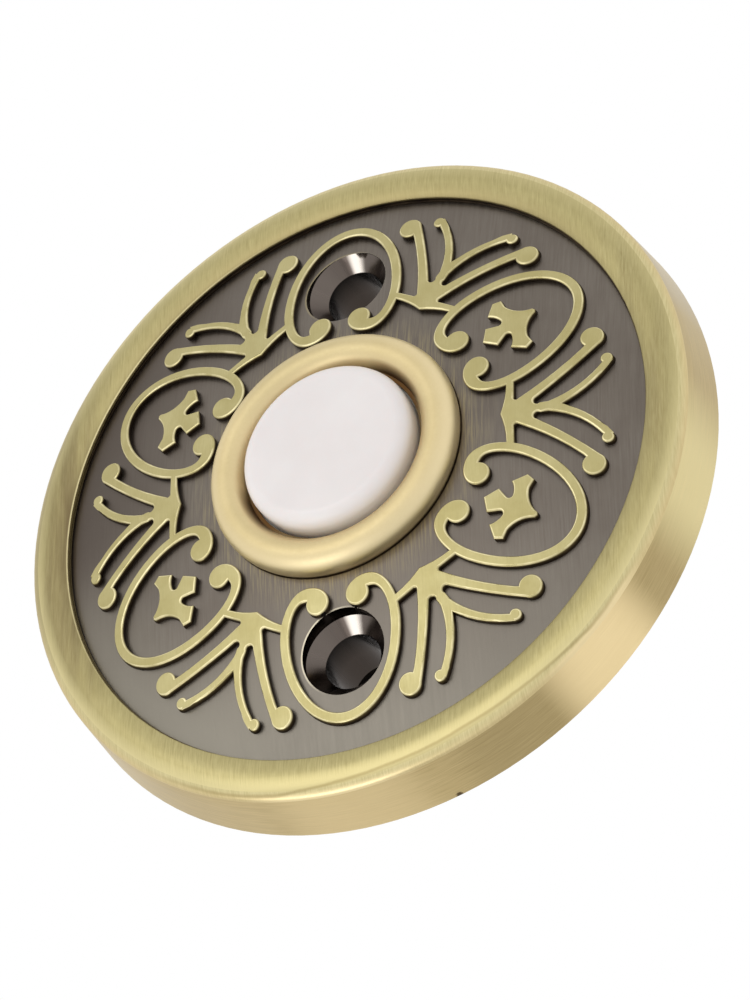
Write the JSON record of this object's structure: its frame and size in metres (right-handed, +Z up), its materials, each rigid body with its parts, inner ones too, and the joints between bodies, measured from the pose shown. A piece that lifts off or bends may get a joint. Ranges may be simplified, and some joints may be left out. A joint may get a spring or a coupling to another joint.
{
  "type": "doorbell push button",
  "caption": "Round antique-brass doorbell push with a domed, raised scroll pattern, a turned bezel and a pale spring-back button.",
  "frame": {"origin": "centre of the back plane, on the wall", "axes": "+Z up, +Y into the wall, the button faces -Y"},
  "size_m": [0.0636, 0.0115, 0.0636],
  "materials": {
    "antique_brass": "satin",
    "bezel_brass": "satin",
    "contact_brass": "satin",
    "pearl_plastic": "gloss",
    "white_moulding": "matte",
    "black_moulding": "matte",
    "brown_laminate": "matte",
    "spring_steel": "satin",
    "plated_steel": "satin"
  },
  "bodies": {
    "plate_assembly": {"escutcheon_plate": "antique_brass", "bezel_ring": "bezel_brass", "lock_washer": "spring_steel", "ring_nut": "bezel_brass", "return_spring": "spring_steel", "switch_housing": "black_moulding", "base_plate": "brown_laminate", "contact_strip_left": "contact_brass", "contact_strip_right": "contact_brass", "contact_rivet_left": "contact_brass", "contact_rivet_right": "contact_brass", "terminal_screw_left": "contact_brass", "terminal_screw_right": "contact_brass", "clamp_washer_left": "contact_brass", "clamp_washer_right": "contact_brass", "terminal_nut_left": "contact_brass", "terminal_nut_right": "contact_brass", "base_screw_left": "plated_steel", "base_screw_right": "plated_steel"},
    "button": {"push_cap": "pearl_plastic", "plunger": "white_moulding", "contact_bridge": "contact_brass", "bridge_clip": "spring_steel"}
  },
  "joints": [
    {"name": "button_press", "type": "slide", "parent": "plate_assembly", "child": "button", "axis": [0, 1, 0], "range_m": [0, 0.0012], "stiffness_N_per_m": 800, "springref_m": -0.0015, "deforming": ["return_spring"]}
  ]
}
